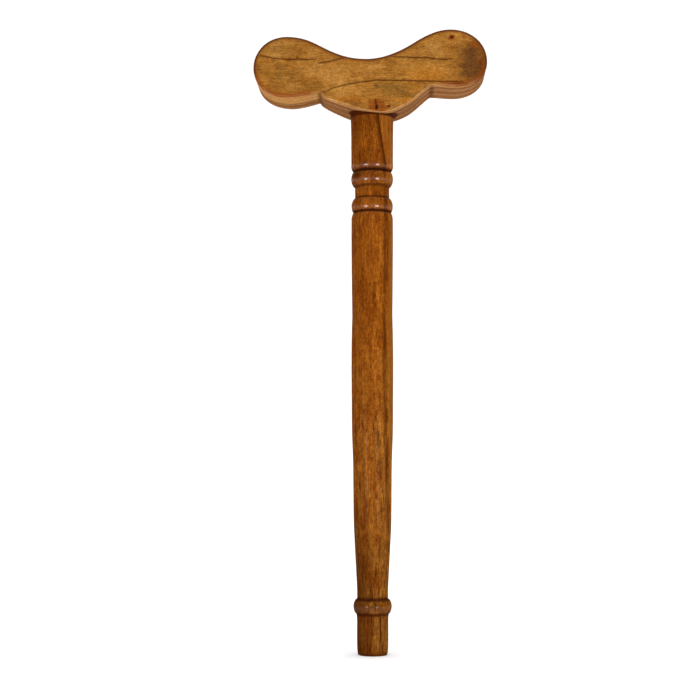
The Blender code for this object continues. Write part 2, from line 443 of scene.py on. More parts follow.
def edge_rows():
    """(y, inset) of each loop round the board's edge, from the front face to the back face."""
    angles = np.linspace(0, math.pi / 2, ARRIS_STEPS + 1)
    front = [
        (FRONT_Y + ARRIS_ROUND * (1 - math.cos(a)), ARRIS_ROUND * (1 - math.sin(a))) for a in angles
    ]
    band = np.linspace(FRONT_Y + ARRIS_ROUND, -FRONT_Y - ARRIS_ROUND, EDGE_LOOPS + 2)[1:-1]
    back = [(-y, inset) for y, inset in reversed(front)]
    return front + [(y, 0.0) for y in band] + back


def inside_outline(points, outline):
    """Whether each point lies inside a closed line, by counting crossings to its right."""
    inside = np.zeros(len(points), bool)
    for (ax, az), (bx, bz) in zip(outline, np.roll(outline, -1, axis=0)):
        spans = (az > points[:, 1]) != (bz > points[:, 1])
        if spans.any():
            at = ax + (points[:, 1] - az) / (bz - az) * (bx - ax)
            inside ^= spans & (points[:, 0] < at)
    return inside


def nearest_on(points, line, block=4000):
    """(distance, index) of the line's nearest point to each point."""
    distance, index = [], []
    for i in range(0, len(points), block):
        apart = ((points[i : i + block, None] - line) ** 2).sum(axis=2)
        index.append(apart.argmin(axis=1))
        distance.append(np.sqrt(apart.min(axis=1)))
    return np.concatenate(distance), np.concatenate(index)


def split_line(points, dice):
    """A split's middle as an even run of (x, z), with the small waver of torn fibres."""
    rough = np.array(points) + (0.0, SEAT_Z)
    reach = np.concatenate([[0.0], np.cumsum(np.linalg.norm(np.diff(rough, axis=0), axis=1))])
    count = int(reach[-1] / SPLIT_STEP)
    spots = np.linspace(0, reach[-1], count)
    line = np.stack([np.interp(spots, reach, rough[:, k]) for k in (0, 1)], axis=1)
    waver = np.interp(spots, spots[::4], dice.normal(0.0, SPLIT_WANDER, len(spots[::4])))
    line[:, 1] = np.convolve(np.pad(line[:, 1], 6, "edge"), np.full(13, 1 / 13), "valid") + waver
    return line


def split_profile(count):
    """How open a split is along its length: closed at both ends."""
    return np.sin(np.linspace(0, math.pi, count)) ** 0.15


def fill_face(body, loop, y, splits):
    """Closes the board's front or back face with a fine net, sunk along its splits."""
    outline = np.array([(v.co.x, v.co.z) for v in loop])
    count = len(outline)
    verts = [tuple(p) for p in outline]
    edges = [(i, (i + 1) % count) for i in range(count)]
    sunk = {}
    for line in splits:
        open_share = split_profile(len(line))
        aside = SPLIT_WIDTH / 2 * open_share[1:-1]
        start = len(verts)
        verts += [tuple(p) for p in line]
        for k, share in enumerate(open_share[1:-1]):
            sunk[start + 1 + k] = SPLIT_DEPTH * share
        ends = (start, start + len(line) - 1)
        edges += [(start + k, start + k + 1) for k in range(len(line) - 1)]
        for side in (-1, 1):
            first = len(verts)
            verts += [(x, z + side * gap) for (x, z), gap in zip(line[1:-1], aside)]
            run = [ends[0], *range(first, len(verts)), ends[1]]
            edges += list(zip(run, run[1:]))
    low, high = outline.min(axis=0), outline.max(axis=0)
    grid = np.stack(
        np.meshgrid(
            np.arange(low[0], high[0], FACE_SPACING), np.arange(low[1], high[1], FACE_SPACING)
        ),
        axis=-1,
    ).reshape(-1, 2)
    grid[:, 0] += FACE_SPACING / 2 * (np.round((grid[:, 1] - low[1]) / FACE_SPACING) % 2)
    grid = grid[inside_outline(grid, outline)]
    grid = grid[nearest_on(grid, np.array(verts))[0] > FACE_SPACING * 0.6]
    points, _, faces, origins, _, _ = delaunay_2d_cdt(
        [Vector(p) for p in verts] + [Vector(p) for p in grid], edges, [], 1, 1e-7
    )
    inwards = 1 if y < 0 else -1
    made = []
    for point, origin in zip(points, origins):
        rim = [i for i in origin if i < count]
        depth = max((sunk.get(i, 0.0) for i in origin), default=0.0)
        made.append(loop[rim[0]] if rim else body.verts.new((point.x, y + inwards * depth, point.y)))
    for face in faces:
        body.faces.new([made[i] for i in face])


def make_board_body(front_splits, back_splits):
    body = bmesh.new()
    loops = []
    for y, inset in edge_rows():
        line = outline_points((y - FRONT_Y) / (2 * BOARD_HALF))
        line = line + inset * inward(line)
        loops.append([body.verts.new((x, y, z)) for x, z in line])
    for near, far in zip(loops, loops[1:]):
        for i in range(len(near)):
            j = (i + 1) % len(near)
            body.faces.new((near[i], near[j], far[j], far[i]))
    fill_face(body, loops[0], FRONT_Y, front_splits)
    fill_face(body, loops[-1], -FRONT_Y, back_splits)
    return link_new("board", mesh_from("board", body))


SOCKET_RADIUS = 0.0128
SOCKET_TOP_Z = 0.5280
PEG_HOLE_RADIUS = 0.0038
HOLE_SIDES = 64
OVERCUT = 0.010


def rod(name, radius, start, end, sides):
    """A plain round cutter between two points."""
    start, end = Vector(start), Vector(end)
    body = bmesh.new()
    bmesh.ops.create_cone(
        body, cap_ends=True, segments=sides, radius1=radius, radius2=radius, depth=(end - start).length
    )
    turn = (end - start).to_track_quat("Z", "Y").to_matrix()
    bmesh.ops.rotate(body, verts=body.verts, matrix=turn)
    bmesh.ops.translate(body, verts=body.verts, vec=(start + end) / 2)
    return link_new(name, mesh_from(name, body))


def combine(obj, operation, others):
    """Takes other solids out of the object, or joins them to it, for good, and removes them."""
    for other in others:
        boolean = obj.modifiers.new("combine", "BOOLEAN")
        boolean.operation = operation
        boolean.object = other
        boolean.solver = "EXACT"
    settle(obj)
    for other in others:
        bpy.data.objects.remove(other)


def peg_hole():
    peg_z = (peg_low.z + peg_high.z) / 2
    return rod(
        "peg hole",
        PEG_HOLE_RADIUS,
        (0.0, peg_low.y - GAP, peg_z),
        (0.0, peg_high.y + OVERCUT, peg_z),
        HOLE_SIDES,
    )


WELD = 0.000004


def weld(obj):
    """Joins points that all but coincide, and drops the faces that this leaves without area."""
    body = bmesh.new()
    body.from_mesh(obj.data)
    bmesh.ops.remove_doubles(body, verts=body.verts, dist=WELD)
    bmesh.ops.dissolve_degenerate(body, edges=body.edges, dist=WELD)
    bmesh.ops.recalc_face_normals(body, faces=body.faces)
    body.to_mesh(obj.data)
    body.free()


def write_attribute(mesh, name, values):
    layer = mesh.attributes.new(name, "FLOAT", "POINT")
    layer.data.foreach_set("value", np.asarray(values, np.float32))


def mark_board(mesh, front_splits, back_splits):
    """Writes what the wood's finish reads: distance to the arris, which way the edge faces, the
    sawn band and the splits."""
    co = np.empty(len(mesh.vertices) * 3, np.float32)
    mesh.vertices.foreach_get("co", co)
    co = co.reshape(-1, 3).astype(float)
    flat = co[:, [0, 2]]
    from_arris = np.empty(len(co))
    down = np.empty(len(co))
    front = co[:, 1] < 0
    for side, depth in ((front, 0.0), (~front, 1.0)):
        outline = outline_points(depth)
        distance, index = nearest_on(flat[side], outline)
        from_arris[side] = distance
        down[side] = inward(outline)[index, 1]
    from_face = BOARD_HALF - np.abs(co[:, 1])
    on_band = np.clip(from_face / ARRIS_ROUND, 0, 1) * (from_arris < 3 * ARRIS_ROUND)
    write_attribute(mesh, "arris", np.maximum(from_face, from_arris * (from_face < ARRIS_ROUND)))
    write_attribute(mesh, "downward", down)
    write_attribute(mesh, "band", on_band)
    split = np.zeros(len(co))
    for side, lines in ((co[:, 1] < FRONT_Y * 0.9, front_splits), (co[:, 1] > -FRONT_Y * 0.9, back_splits)):
        for line in lines:
            distance, index = nearest_on(flat[side], line)
            open_share = split_profile(len(line))[index]
            stain = SPLIT_STAIN * np.exp(-((distance / SPLIT_STAIN_REACH) ** 2))
            dark = open_share * ((distance < SPLIT_WIDTH * 0.2) + stain)
            split[side] = np.maximum(split[side], dark)
    write_attribute(mesh, "split", np.clip(split, 0, 1))


def make_board():
    dice = np.random.default_rng(SPLIT_SEED)
    front_splits = [split_line(points, dice) for points in FRONT_SPLITS]
    back_splits = [split_line(points, dice) for points in BACK_SPLITS]
    board = make_board_body(front_splits, back_splits)
    socket = rod(
        "socket", SOCKET_RADIUS, (0.0, 0.0, SEAT_Z - OVERCUT), (0.0, 0.0, SOCKET_TOP_Z), HOLE_SIDES
    )
    combine(board, "DIFFERENCE", [socket, peg_hole()])
    board.data.shade_smooth()
    board.data.set_sharp_from_angle(angle=math.radians(38))
    mark_board(board.data, front_splits, back_splits)
    board.data.materials.clear()
    board.data.materials.append(board_wood())
    return board


# Colours of the varnished board, linear
GOLD = (0.312, 0.130, 0.0200)
STRAW = (0.415, 0.196, 0.0430)
HONEY = (0.420, 0.145, 0.0130)
BROWN = (0.215, 0.080, 0.0110)
LATE_WOOD = (0.165, 0.054, 0.0085)
SAPWOOD = (0.500, 0.245, 0.0750)
SAWN = (0.400, 0.190, 0.0750)
SAWN_DARK = (0.120, 0.042, 0.0150)
OLIVE = (0.165, 0.078, 0.0130)
RED_BROWN = (0.200, 0.045, 0.0050)
DEEP_RED = (0.082, 0.0155, 0.0020)
SMOKE = (0.088, 0.033, 0.0085)
KNOT = (0.060, 0.0090, 0.0010)
DUSK = (0.052, 0.0090, 0.0016)
PITCH = (0.020, 0.0050, 0.0020)
WEAR_AND_HIGHLIGHT = (0.780, 0.500, 0.2400)

BACK_Y = -FRONT_Y

# Knots and stains: colour, centre (height above the seat), reach, softness and strength
BOARD_MARKS = (
    # left lobe
    (OLIVE, (-0.0810, FRONT_Y, 0.0345), (0.022, 0.012, 0.017), 0.9, 0.42),
    (OLIVE, (-0.0600, FRONT_Y, 0.0205), (0.020, 0.008, 0.006), 0.8, 0.50),
    (OLIVE, (-0.0880, FRONT_Y, 0.0600), (0.022, 0.008, 0.007), 0.9, 0.40),
    (HONEY, (-0.0560, FRONT_Y, 0.0178), (0.012, 0.003, 0.0026), 0.8, 0.55),
    (STRAW, (-0.0380, FRONT_Y, 0.0360), (0.034, 0.010, 0.012), 0.9, 0.55),
    (STRAW, (-0.0850, FRONT_Y, 0.0545), (0.022, 0.008, 0.0035), 0.8, 0.35),
    (KNOT, (-0.0679, FRONT_Y, 0.0510), (0.0014, 0.004, 0.0011), 0.6, 0.85),
    # centre lobe
    (OLIVE, (0.0180, FRONT_Y, 0.0225), (0.021, 0.009, 0.0085), 0.7, 0.70),
    (OLIVE, (0.0300, FRONT_Y, 0.0165), (0.015, 0.007, 0.0050), 0.8, 0.70),
    (SMOKE, (0.0040, FRONT_Y, 0.0245), (0.0035, 0.007, 0.0042), 0.9, 0.75),
    (HONEY, (-0.0200, FRONT_Y, 0.0120), (0.022, 0.004, 0.0050), 0.9, 0.35),
    (HONEY, (0.0300, FRONT_Y, 0.0110), (0.014, 0.004, 0.0036), 0.9, 0.55),
    (RED_BROWN, (0.0060, FRONT_Y, 0.0060), (0.0100, 0.007, 0.0090), 0.5, 0.85),
    (DEEP_RED, (0.0155, FRONT_Y, 0.0056), (0.0026, 0.004, 0.0016), 0.6, 0.95),
    (KNOT, (0.0036, FRONT_Y, 0.0090), (0.0010, 0.005, 0.0058), 0.6, 0.85),
    (PITCH, (0.0045, FRONT_Y, 0.0050), (0.0017, 0.006, 0.0032), 0.5, 0.95),
    # right lobe
    (STRAW, (0.0560, FRONT_Y, 0.0580), (0.018, 0.008, 0.014), 0.9, 0.55),
    (HONEY, (0.0500, FRONT_Y, 0.0350), (0.030, 0.006, 0.0100), 0.9, 0.50),
    (BROWN, (0.0900, FRONT_Y, 0.0470), (0.0330, 0.012, 0.0380), 1.0, 0.80),
    (SMOKE, (0.0910, FRONT_Y, 0.0455), (0.0170, 0.012, 0.0270), 0.9, 0.90),
    (DEEP_RED, (0.1040, FRONT_Y, 0.0410), (0.0120, 0.010, 0.0260), 0.9, 0.85),
    (DEEP_RED, (0.0800, FRONT_Y, 0.0250), (0.0160, 0.004, 0.0026), 0.7, 0.80),
    (DEEP_RED, (0.1000, FRONT_Y, 0.0280), (0.0130, 0.010, 0.0110), 0.9, 0.85),
    (RED_BROWN, (0.0960, FRONT_Y, 0.0620), (0.0100, 0.012, 0.0080), 0.9, 0.80),
    (RED_BROWN, (0.0835, FRONT_Y, 0.0698), (0.0042, 0.004, 0.0026), 0.8, 0.75),
    (RED_BROWN, (0.0728, FRONT_Y, 0.0692), (0.0064, 0.060, 0.0046), 0.7, 0.85),
    (KNOT, (0.0728, FRONT_Y, 0.0691), (0.0030, 0.060, 0.0023), 0.6, 0.95),
    # back face
    (OLIVE, (0.0700, BACK_Y, 0.0450), (0.030, 0.012, 0.018), 0.9, 0.50),
    (STRAW, (0.0100, BACK_Y, 0.0330), (0.040, 0.010, 0.012), 0.9, 0.55),
    (SMOKE, (-0.0920, BACK_Y, 0.0420), (0.016, 0.010, 0.024), 0.8, 0.75),
    (DEEP_RED, (-0.1040, BACK_Y, 0.0420), (0.010, 0.010, 0.024), 0.8, 0.65),
    (RED_BROWN, (-0.0520, BACK_Y, 0.0280), (0.0070, 0.006, 0.0045), 0.6, 0.80),
    (KNOT, (-0.0520, BACK_Y, 0.0280), (0.0030, 0.006, 0.0020), 0.6, 0.92),
)

# The plank's growth rings run round a pith behind and above it, along X
BOARD_PITH = (0.0, 0.085, SEAT_Z + 0.035)
RING_WIDTH = 0.0082

# Pale share of the sawn edge from front to back, as (y, share): sapwood on the left lobe, and
# the growth lines of the rest
SAP_SHARE = (
    (-0.0250, 0.90), (-0.0060, 1.00), (0.0025, 0.95), (0.0050, 0.20), (0.0080, 0.55),
    (0.0130, 0.00), (0.0165, 0.50), (0.0215, 0.25), (0.0250, 0.45),
)
LINE_SHARE = (
    (-0.0250, 0.85), (-0.0175, 0.85), (-0.0150, 0.28), (-0.0110, 0.40), (-0.0070, 0.78), (-0.0030, 0.68),
    (0.0010, 0.30), (0.0050, 0.38), (0.0090, 0.80), (0.0125, 0.60), (0.0160, 0.30), (0.0205, 0.60),
    (0.0250, 0.45),
)

# Where the lower front arris is rubbed bright and carries a painted highlight, as (x, strength)
ARRIS_WEAR_AND_HIGHLIGHT = (
    (-0.1079, 0.05), (-0.0500, 0.10), (-0.0420, 0.45), (-0.0300, 0.85), (-0.0180, 0.60),
    (-0.0050, 0.45), (0.0120, 0.40), (0.0300, 0.50), (0.0480, 0.45), (0.0600, 0.50),
    (0.0720, 0.35), (0.0880, 0.30), (0.1000, 0.00), (0.1049, 0.00),
)


def board_edge(wood, colour, late, fine, wobble):
    """The sawn edge: growth lines along it, the left lobe's sapwood, and painted shade on the centre lobe's
    underside by the post.
    """
    on_band = wood.fade(wood.attribute("band"), 0.5, 1.0)
    line = wood.calc("ADD", wood.y, wood.calc("MULTIPLY", wobble, 0.0016))
    line = wood.calc("SUBTRACT", line, 0.0008)
    lines = wood.tint(SAWN_DARK, SAWN, wood.follow(line, LINE_SHARE))
    lines = wood.tint(lines, SAPWOOD, wood.fade(line, -0.0160, -0.0190, 0.0, 0.50))
    sap = wood.tint(SAWN_DARK, SAPWOOD, wood.follow(line, SAP_SHARE))
    below = wood.both(wood.fade(wood.x, -0.043, -0.052), wood.fade(wood.z, SEAT_Z + 0.050, SEAT_Z + 0.035))
    left_lobe = wood.calc("MAXIMUM", below, wood.fade(wood.x, -0.020, -0.095))
    sawn = wood.tint(lines, sap, left_lobe)
    # painted shade: the centre lobe's underside, behind its front strip, darkened by the post
    centre_lobe_shade = wood.both(
        wood.fade(wood.x, -0.048, -0.044),
        wood.fade(wood.x, 0.054, 0.030),
        wood.fade(wood.z, SEAT_Z + 0.030, SEAT_Z + 0.016),
        wood.fade(wood.y, -0.0190, -0.0160),
    )
    sawn = wood.tint(sawn, SAWN_DARK, wood.both(centre_lobe_shade, 0.32))
    sawn = wood.tint(sawn, SAWN_DARK, wood.both(late, 0.30))
    sawn = wood.tint(sawn, SAWN_DARK, wood.both(fine, 0.35))
    return wood.tint(colour, sawn, wood.both(on_band, 0.90)), on_band


def darken_notches_and_shade_seat(wood, colour, on_band):
    """Darker wood in the two notches, and painted shade with some stain round the post's shoulder."""
    for x, above in ((-0.0474, 0.0190), (0.0545, 0.0245)):
        notch = wood.blob((x, 0.0, SEAT_Z + above), (0.0040, 0.060, 0.0070), 0.9)
        colour = wood.tint(colour, DUSK, wood.both(notch, on_band, 0.55))
    # painted shade with some stain on the underside round the post's shoulder
    from_axis = wood.vector("LENGTH", wood.vector("MULTIPLY", wood.place, (1.0, 1.0, 0.0)))
    low = wood.fade(wood.z, SEAT_Z + 0.020, SEAT_Z + 0.012)
    from_axis = wood.calc("SUBTRACT", from_axis, wood.calc("MULTIPLY", wood.x, 0.06))
    seat = wood.both(wood.fade(from_axis, 0.0238, 0.0212), on_band, low)
    return wood.tint(colour, DUSK, wood.both(seat, 0.95))


def board_arrises(wood, colour, mottle, streak):
    """Painted shade along the upper arrises, red-brown inside the lobes' lower ones, and lower
    arrises that are rubbed bright and carry a painted highlight."""
    arris = wood.attribute("arris")
    downward = wood.attribute("downward")
    lobes = wood.calc("MAXIMUM", wood.fade(wood.x, -0.046, -0.060), wood.fade(wood.x, 0.056, 0.070))
    inside = wood.both(lobes, wood.fade(arris, 0.0056, 0.0016), wood.fade(downward, -0.45, 0.15))
    ragged = wood.both(wood.fade(mottle, 0.36, 0.50, 0.35, 1.0), wood.fade(streak, 0.36, 0.54, 0.5, 1.0))
    colour = wood.tint(colour, RED_BROWN, wood.both(inside, ragged, 0.90))
    # painted shade along the upper arrises
    turned_up = wood.fade(downward, 0.50, 0.05)
    colour = wood.tint(colour, LATE_WOOD, wood.both(wood.fade(arris, 0.0048, 0.0018), turned_up, 0.65))
    colour = wood.tint(colour, DEEP_RED, wood.both(wood.fade(arris, 0.0028, 0.0012), turned_up, 0.80))
    # painted highlight, with some wear, along the lower arrises, which face down
    turned_down = wood.fade(downward, 0.45, 0.85)
    rubbed_highlight = wood.both(wood.fade(arris, 0.0012, 0.0003), turned_down, wood.fade(mottle, 0.40, 0.56, 0.30, 1.0))
    return wood.tint(colour, WEAR_AND_HIGHLIGHT, wood.both(rubbed_highlight, wood.follow(wood.x, ARRIS_WEAR_AND_HIGHLIGHT)))


def board_wood():
    """Flat-sawn plank with its grain along X, varnished over an uneven golden stain."""
    wood = Recipe("board wood")
    warp = wood.noise((4.0, 1.0, 1.5), 0.040, 2.0)
    wobble = wood.noise((1.6, 1.0, 1.0), 0.0045, 3.0)
    mottle = wood.noise((1.5, 1.0, 1.0), 0.016, 4.0, 0.65)
    streak = wood.noise((9.0, 1.0, 1.0), 0.0026, 4.0, 0.70)
    fibre = wood.noise((14.0, 1.0, 1.0), 0.0010, 2.0)
    fleck = wood.noise((2.6, 1.0, 1.0), 0.0015, 3.0, 0.7)
    grit = wood.noise((1.8, 1.0, 1.0), 0.0007, 1.0)
    pore = wood.fade(wood.noise((5.0, 1.0, 1.0), 0.0006, 1.0), 0.66, 0.76)
    from_pith = wood.vector("MULTIPLY", wood.vector("SUBTRACT", wood.place, BOARD_PITH), (0.0, 1.0, 1.0))
    depth = wood.calc("ADD", wood.vector("LENGTH", from_pith), wood.calc("MULTIPLY", warp, 0.020))
    late, fine = wood.growth(depth, RING_WIDTH)

    colour = wood.tint(BROWN, GOLD, wood.fade(mottle, 0.36, 0.52))
    colour = wood.tint(colour, STRAW, wood.fade(mottle, 0.50, 0.66, 0.0, 0.55))
    colour = wood.tint(colour, STRAW, wood.fade(streak, 0.52, 0.70, 0.0, 0.62))
    colour = wood.tint(colour, BROWN, wood.fade(streak, 0.46, 0.32, 0.0, 0.62))
    colour = wood.tint(colour, HONEY, wood.fade(wobble, 0.56, 0.72, 0.0, 0.40))
    colour = wood.tint(colour, LATE_WOOD, wood.both(late, 0.25))
    colour, on_band = board_edge(wood, colour, late, fine, wobble)

    swing = wood.node("ShaderNodeCombineXYZ", X=wobble, Y=0.0, Z=mottle).outputs["Vector"]
    swing = wood.vector("MULTIPLY", wood.vector("SUBTRACT", swing, (0.5, 0.0, 0.5)), (1.5, 0.0, 1.5))
    for tone, (x, y, above), reach, softness, strength in BOARD_MARKS:
        mask = wood.blob((x, y, SEAT_Z + above), reach, softness, swing)
        colour = wood.tint(colour, tone, wood.both(mask, strength))

    colour = wood.tint(colour, LATE_WOOD, wood.fade(fibre, 0.55, 0.72, 0.0, 0.40))
    colour = wood.shaded(colour, wood.fade(fleck, 0.25, 0.75, 1.26, 0.72))
    colour = wood.shaded(colour, wood.fade(grit, 0.25, 0.75, 0.75, 1.25))
    colour = wood.tint(colour, KNOT, wood.both(pore, 0.40))
    colour = darken_notches_and_shade_seat(wood, colour, on_band)
    colour = board_arrises(wood, colour, mottle, streak)
    colour = wood.tint(colour, DUSK, wood.both(wood.attribute("split"), 0.95))

    roughness = wood.calc("ADD", wood.fade(fibre, 0.3, 0.7, 0.40, 0.50), wood.both(pore, 0.15))
    raised = wood.calc("ADD", wood.both(fibre, 0.35), wood.both(streak, 0.8))
    height = wood.calc("SUBTRACT", raised, wood.both(pore, 0.6))
    wood.varnish(wood.fade(on_band, 0.0, 0.8, 0.08, 0.012), 0.20, 2.0)
    return wood.finish(colour, roughness, height, 0.00025)


# ---------------------------------------------------------------- turned post

TENON_RADIUS = 0.0125
TENON_CHAMFER = 0.0010
TENON_FOOT_Z = 0.4700

# Stations on the plain stretches, as (height, radius)
NECK = (
    (SEAT_Z + 0.0100, 0.01985),  # blank top, before the shoulder is scribed to the board
    (0.4880, 0.01970),
    (0.4780, 0.01942),
    (0.4686, 0.01930),
    (0.4550, 0.01922),
    (0.4475, 0.01922),
    (0.4446, 0.01926),
)
COVE = ((0.4247, 0.01562), (0.4225, 0.01552), (0.4165, 0.01550), (0.4141, 0.01558))
SHAFT = (
    (0.3940, 0.01884),
    (0.3774, 0.01884),
    (0.3550, 0.01869),
    (0.3276, 0.01842),
    (0.3040, 0.01820),
    (0.2890, 0.01858),
    (0.2560, 0.01882),
    (0.2341, 0.01866),
    (0.1970, 0.01833),
    (0.1741, 0.01748),
    (0.1524, 0.01722),
    (0.1146, 0.01666),
    (0.0930, 0.01562),
    (0.0715, 0.01445),
    (0.0545, 0.01372),
    (0.0508, 0.01374),
)
SPIGOT = ((0.0366, 0.01432), (0.0339, 0.01402), (0.0214, 0.01387), (0.0054, 0.01363), (0.0019, 0.01336))
FOOT_END = ((0.0009, 0.01306), (0.0003, 0.01262), (0.0, 0.01200))

NECK_GROOVE = (0.4388, 0.01635)
UPPER_BEAD = (0.4319, 0.01907)
LOWER_BEAD = (0.4067, 0.01882)
SHAFT_GROOVE = (0.4010, 0.01670)
FOOT_BEAD_TOP = (0.0500, 0.01380)
FOOT_BEAD = (0.0433, 0.01712)
FULLNESS = 1.75
ARC_STEPS = 14
RING_SPACING = 0.0022

TURNING_SIDES = 96
UNEVENNESS = 0.00014
UNEVENNESS_LENGTH = 0.045
GIRTH = 0.00022  # added to every radius below the neck


def flank(crest, valley, fullness=FULLNESS):
    """The turned curve from a bead's crest to the valley beside it, both as (height, radius)."""
    share = np.sin(np.linspace(0, math.pi / 2, ARC_STEPS + 1))
    rise = np.maximum(0, 1 - share**fullness) ** (1 / fullness)
    heights = crest[0] + (valley[0] - crest[0]) * share
    return list(zip(heights, valley[1] + (crest[1] - valley[1]) * rise))


def smooth_run(stations):
    """Evenly spaced points on a smooth curve through stations, top to bottom."""
    heights, radii = (np.array(column) for column in zip(*stations))
    slopes = np.gradient(radii, heights)
    points = []
    for i in range(len(stations) - 1):
        span = heights[i + 1] - heights[i]
        steps = max(1, round(-span / RING_SPACING))
        for t in np.arange(steps) / steps:
            radius = (
                (2 * t**3 - 3 * t**2 + 1) * radii[i]
                + (t**3 - 2 * t**2 + t) * span * slopes[i]
                + (3 * t**2 - 2 * t**3) * radii[i + 1]
                + (t**3 - t**2) * span * slopes[i + 1]
            )
            points.append((heights[i] + t * span, radius))
    return points + [stations[-1]]


def post_profile():
    """The post's rings from the neck's blank top down to the foot, as (height, radius)."""
    beads = (
        flank(NECK[-1], NECK_GROOVE)[1:]
        + flank(UPPER_BEAD, NECK_GROOVE)[-2::-1]
        + flank(UPPER_BEAD, COVE[0])[1:]
        + smooth_run(COVE)[1:-1]
        + flank(LOWER_BEAD, COVE[-1])[::-1]
        + flank(LOWER_BEAD, SHAFT_GROOVE)[1:]
        + flank(SHAFT[0], SHAFT_GROOVE)[-2:0:-1]
    )
    foot_bead = flank(FOOT_BEAD, FOOT_BEAD_TOP)[::-1] + flank(FOOT_BEAD, SPIGOT[0])[1:]
    foot = smooth_run(SPIGOT)[1:] + list(FOOT_END)
    turned = beads + smooth_run(SHAFT) + foot_bead + foot
    return smooth_run(NECK) + [(height, radius + GIRTH) for height, radius in turned]


def post_centre_line():
    """The lathe's centre line as a chain of points that carry their ring's radius."""
    rings = np.array(post_profile())
    mesh = bpy.data.meshes.new("post")
    chain = [(i, i + 1) for i in range(len(rings) - 1)]
    mesh.from_pydata([(0.0, 0.0, height) for height in rings[:, 0]], chain, [])
    write_attribute(mesh, "ring_radius", rings[:, 1])
    write_attribute(mesh, "hand_turned", (rings[:, 0] > SPIGOT[-1][0]).astype(float))
    return mesh


def turning_tree():
    """Sweeps a circle down a centre line, sized ring by ring, and leaves it slightly uneven."""
    tree = bpy.data.node_groups.new("lathe turning", "GeometryNodeTree")
    sockets = (
        ("Centre Line", "NodeSocketGeometry"),
        ("Sides", "NodeSocketInt"),
        ("Unevenness", "NodeSocketFloat"),
        ("Unevenness Length", "NodeSocketFloat"),
        ("Seed", "NodeSocketInt"),
        ("Wood", "NodeSocketMaterial"),
    )
    for name, kind in sockets:
        tree.interface.new_socket(name, in_out="INPUT", socket_type=kind)
    tree.interface.new_socket("Post", in_out="OUTPUT", socket_type="NodeSocketGeometry")
    link = tree.links.new
    new = tree.nodes.new
    given = new("NodeGroupInput").outputs

    def read_attribute(name):
        node = new("GeometryNodeInputNamedAttribute")
        node.data_type = "FLOAT"
        node.inputs["Name"].default_value = name
        return node.outputs["Attribute"]

    def calculate(kind, operation, *values):
        node = new(kind)
        node.operation = operation
        for socket, value in zip(node.inputs, values):
            if isinstance(value, bpy.types.NodeSocket):
                link(value, socket)
            else:
                socket.default_value = value
        return node.outputs[0]

    line = new("GeometryNodeMeshToCurve")
    link(given["Centre Line"], line.inputs["Mesh"])
    circle = new("GeometryNodeCurvePrimitiveCircle")
    circle.inputs["Radius"].default_value = 1.0
    link(given["Sides"], circle.inputs["Resolution"])
    swept = new("GeometryNodeCurveToMesh")
    link(line.outputs["Curve"], swept.inputs["Curve"])
    link(circle.outputs["Curve"], swept.inputs["Profile Curve"])
    link(read_attribute("ring_radius"), swept.inputs["Scale"])
    swept.inputs["Fill Caps"].default_value = True

    position = new("GeometryNodeInputPosition").outputs["Position"]
    stretched = calculate("ShaderNodeVectorMath", "MULTIPLY", position, (1.0, 1.0, 0.6))
    noise = new("ShaderNodeTexNoise")
    noise.noise_dimensions = "4D"
    link(stretched, noise.inputs["Vector"])
    link(given["Seed"], noise.inputs["W"])
    link(calculate("ShaderNodeMath", "DIVIDE", 1.0, given["Unevenness Length"]), noise.inputs["Scale"])
    swing = calculate("ShaderNodeMath", "SUBTRACT", noise.outputs["Fac"], 0.5)
    amount = calculate("ShaderNodeMath", "MULTIPLY", swing, given["Unevenness"])
    amount = calculate("ShaderNodeMath", "MULTIPLY", amount, read_attribute("hand_turned"))
    level = calculate("ShaderNodeVectorMath", "MULTIPLY", position, (1.0, 1.0, 0.0))
    outward = calculate("ShaderNodeVectorMath", "NORMALIZE", level)
    offset = calculate("ShaderNodeVectorMath", "MULTIPLY", outward, amount)
    moved = new("GeometryNodeSetPosition")
    link(swept.outputs["Mesh"], moved.inputs["Geometry"])
    link(offset, moved.inputs["Offset"])

    realized = new("GeometryNodeRealizeInstances")
    link(moved.outputs["Geometry"], realized.inputs["Geometry"])
    finished = new("GeometryNodeSetMaterial")
    link(realized.outputs["Geometry"], finished.inputs["Geometry"])
    link(given["Wood"], finished.inputs["Material"])
    link(finished.outputs["Geometry"], new("NodeGroupOutput").inputs["Post"])
    return tree


def set_inputs(modifier, **values):
    """Sets a tree's named inputs; an underscore in a name stands for a space."""
    for item in modifier.node_group.interface.items_tree:
        key = item.name.replace(" ", "_")
        if item.in_out == "INPUT" and key in values:
            modifier[item.identifier] = values[key]


WEDGE_FOOT = 0.0012
WEDGE_HEAD = wedge_high.x - wedge_low.x


def kerf():
    """The saw cut in the tenon that the fox wedge opens, a little larger than the wedge."""
    foot_z = wedge_low.z - 0.0020
    body = bmesh.new()
    bmesh.ops.create_cube(body, size=1.0)
    for corner in body.verts:
        at_head = corner.co.z > 0
        corner.co.x *= (WEDGE_HEAD if at_head else WEDGE_FOOT) + 2 * GAP
        corner.co.y *= 2 * TENON_RADIUS + OVERCUT
        corner.co.z = post_high.z + GAP if at_head else foot_z
    return link_new("kerf", mesh_from("kerf", body))


def scribe():
    """The board's own outline, a hair larger, which cuts the shoulder to fit its underside."""
    body = bmesh.new()
    loops = []
    for depth, y in ((0.0, FRONT_Y), (1.0, BACK_Y)):
        line = outline_points(depth)
        line = line - GAP * inward(line)
        loops.append([body.verts.new((x, y, z)) for x, z in line])
    for i in range(len(loops[0])):
        j = (i + 1) % len(loops[0])
        body.faces.new((loops[0][i], loops[0][j], loops[1][j], loops[1][i]))
    for loop in loops:
        body.faces.new(loop)
    return link_new("scribe", mesh_from("scribe", body))


